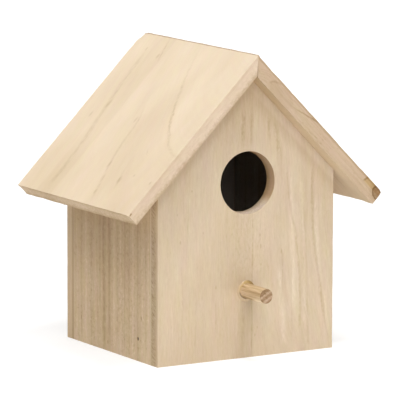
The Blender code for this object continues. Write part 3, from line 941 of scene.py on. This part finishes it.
def make_glue_lines(material):
    """The squeezed glue in the joints between the boards, a little below their surfaces."""
    bm = bmesh.new()
    slack = 0.01
    inset = 0.03
    wall_top = wall_high.z - WALL
    for side in (-1, 1):
        x = side * (HALF_WIDTH - inset)
        inward = (-side * (WALL - inset), 0, 0)
        for y in (front_high.y + slack, wall_high.y + slack):
            glue_sheet(bm, (x, y, inset), inward, (0, 0, wall_top - 2 * inset), (0, GAP - 2 * slack, 0))
        down = Vector((side * SLOPE.x, 0, SLOPE.z))
        out = Vector((side, 0, 1)).normalized()
        apex = Vector((0, 0, front_high.z)) + out * slack
        gable = (Vector((HALF_WIDTH, 0, HALF_WIDTH))).length - inset
        start = apex + down * 0.6
        for y in (FRONT_Y + inset, back_low.y):
            glue_sheet(bm, start + Vector((0, y, 0)), down * (gable - 0.6), (0, WALL - inset, 0),
                       out * (GAP - 2 * slack))
        seat = apex + down * (gable - WALL * math.sqrt(2)) + Vector((0, wall_low.y, 0))
        glue_sheet(bm, seat, down * (WALL * math.sqrt(2)), (0, wall_high.y - wall_low.y, 0),
                   out * (GAP - 2 * slack))
    mitre = right_roof_low.x - slack
    foot = RIDGE_Z - (roof_high.z - front_high.z) + GAP * math.sqrt(2)
    glue_sheet(bm, (-mitre, ROOF_FRONT_Y + inset, foot), (0, ROOF_BACK_Y - ROOF_FRONT_Y - 2 * inset, 0),
               (0, 0, RIDGE_Z - foot - inset), (2 * mitre, 0, 0))
    for vert in bm.verts:
        vert.co += pressed(vert.co, (ridge_end,))
    as_object(bm, "joint_glue_lines", material, HOUSE)


def glue_material():
    """Dried wood glue: yellowish, slightly glossy, browner where it picked up dust and sawdust. The bead is
    also browner towards its upper right with painted shade, and a painted shadow lies in the join under the
    dowel.
    """
    g = Graph("dried_glue")
    here = g.place()
    cloudy = g.noise(here * (0.5, 0.5, 0.5), 3.0, 0.6)
    grit = g.noise(here * (3.0, 3.0, 3.0), 2.0, 0.6)
    x, _, z = perch_space.coordinates(g)
    aside, up = x + PERCH_SHIFT.x, z + PERCH_SHIFT.z
    near_perch = g.ramp(abs(aside), 9.0, 7.0) * g.ramp(abs(up), 9.0, 7.0)
    wavy = cloudy * 2.5
    rim = g.ramp(g.length(aside, up) - aside * 0.15, 6.0, 5.3)
    bead = near_perch * rim * g.ramp(up + wavy + aside * 0.15, -3.4, 2.6)
    dust = g.ramp(cloudy + grit * 0.6, -0.05, 0.25)
    # shaded is painted shade, browning the bead towards its upper right.
    shaded = g.ramp(aside + up * 0.5 + wavy, 1.0, 4.5)
    amber = g.colour(g.math("MAXIMUM", dust * 0.35, shaded * 0.6), (193, 162, 104), (134, 106, 62))
    smeared = g.colour(near_perch, (214, 190, 158), (205, 179, 143))
    mixed = g.colour(bead, smeared, amber)
    # A painted shadow in the join between the dowel and the glue, on the dowel's lower side.
    painted_seam_shadow = near_perch * g.ramp(g.length(x, z), 4.75, 4.3) * g.ramp(up, 0.5, -1.2)
    g.bump(cloudy + grit * 0.4, 0.12)
    return g.finish(Base_Color=g.colour(painted_seam_shadow * 0.65, mixed, (104, 78, 52)), Roughness=grit * 0.4 + 0.42)


def steel_material():
    """Dull bright steel with a trace of rust."""
    g = Graph("brad_steel")
    blotch = g.noise(g.place() * (1.6, 1.6, 1.6), 3.0, 0.6)
    rust = g.ramp(blotch, 0.02, 0.22)
    g.bump(blotch, 0.05)
    return g.finish(Base_Color=g.colour(rust, (122, 108, 92), (96, 74, 56)),
                    Metallic=1.0 - rust * 0.8, Roughness=rust * 0.35 + 0.4)


glue = glue_material()
steel = steel_material()
make_perch(wood("dowel_grain", perch_space, DOWEL_WOOD, 8, rings=0.03, fibres=0.35, flecks=0.04,
                end_tone=0.60, end_grey=0.18, dust_and_shade=0.0, extra=dowel_figure))
make_perch_glue(glue)
make_brad("floor_pivot_left", -1, steel)
make_brad("floor_pivot_right", 1, steel)
make_glue_lines(glue)

# ---- stage, light and camera -----------------------------------------------------------------------------
CAMERA_AZIMUTH = -31.01
CAMERA_ELEVATION = 9.13
CAMERA_ROLL = 0.18
CAMERA_DISTANCE = 2074.79
CAMERA_TARGET = Vector((-29.06, -44.5, 87.97))
CAMERA_LENS = 353.1
SENSOR = 36.0


def towards(azimuth, elevation):
    """A unit vector away from the object. Azimuth 0 is the front, and negative ones are to the left."""
    a, e = math.radians(azimuth), math.radians(elevation)
    return Vector((math.sin(a) * math.cos(e), -math.cos(a) * math.cos(e), math.sin(e)))


def make_camera():
    data = bpy.data.cameras.new("camera")
    data.lens = CAMERA_LENS
    data.sensor_width = SENSOR
    data.clip_end = 20.0
    camera = linked("camera", data)
    turn = Matrix.Rotation(math.radians(CAMERA_AZIMUTH), 4, "Z")
    tilt = Matrix.Rotation(math.radians(90.0 - CAMERA_ELEVATION), 4, "X")
    roll = Matrix.Rotation(math.radians(CAMERA_ROLL), 4, "Z")
    place = (CAMERA_TARGET + towards(CAMERA_AZIMUTH, CAMERA_ELEVATION) * CAMERA_DISTANCE) * MM
    camera.matrix_world = Matrix.Translation(place) @ turn @ tilt @ roll
    scene.camera = camera


def add_sun(name, azimuth, elevation, strength, softness):
    data = bpy.data.lights.new(name, "SUN")
    data.energy = strength
    data.angle = math.radians(softness)
    light = linked(name, data)
    light.rotation_mode = "QUATERNION"
    light.rotation_quaternion = towards(azimuth, elevation).to_track_quat("Z", "Y")


def make_world(ambient):
    """White to the camera, and an even soft light on the object."""
    scene.world = bpy.data.worlds.new("studio")
    scene.world.use_nodes = True
    tree = scene.world.node_tree
    background = tree.nodes["Background"]
    path = tree.nodes.new("ShaderNodeLightPath")
    level = tree.nodes.new("ShaderNodeMapRange")
    level.inputs["To Min"].default_value = ambient
    level.inputs["To Max"].default_value = 1.0
    tree.links.new(path.outputs["Is Camera Ray"], level.inputs["Value"])
    tree.links.new(level.outputs[0], background.inputs["Strength"])
    background.inputs["Color"].default_value = (1.0, 1.0, 1.0, 1.0)


def make_stage(reflectance, glow):
    """A plain pale floor, clear from below. It lies a hair above the boards' feet, which are uneven."""
    bpy.ops.mesh.primitive_plane_add(size=12.0, location=(0.0, 0.0, 0.12 * MM))
    floor = bpy.context.object
    floor.name = "stage_floor"
    g = Graph("stage_white")
    grey = (*[reflectance] * 3, 1.0)
    g.finish(Base_Color=grey, Roughness=0.9, Specular_IOR_Level=0.0, Emission_Color=(1.0, 1.0, 1.0, 1.0),
             Emission_Strength=glow)
    clear = g.add("ShaderNodeBsdfTransparent")
    sides = g.add("ShaderNodeMixShader")
    g.tree.links.new(g.add("ShaderNodeNewGeometry").outputs["Backfacing"], sides.inputs[0])
    g.tree.links.new(g.shader.outputs[0], sides.inputs[1])
    g.tree.links.new(clear.outputs[0], sides.inputs[2])
    g.tree.links.new(sides.outputs[0], g.tree.nodes["Material Output"].inputs["Surface"])
    floor.data.materials.append(g.material)


SUNS = [
    # name, azimuth, elevation, strength, angular size
    ("overhead_softbox", 0.0, 86.0, 0.20, 40.0),
    ("overhead_spot", 8.0, 76.0, 0.85, 12.0),
    ("key_softbox", -30.0, 55.0, 1.05, 40.0),
    ("front_fill", -14.0, 27.0, 0.85, 45.0),
    ("left_rear_softbox", -112.0, 55.0, 0.70, 40.0),
    ("right_fill", 90.0, 55.0, 0.20, 40.0),
    ("rear_fill", 150.0, 32.0, 0.60, 60.0),
]

make_camera()
make_world(0.12)
make_stage(0.5, 0.58)
for sun in SUNS:
    add_sun(*sun)
scene.view_settings.view_transform = "Standard"
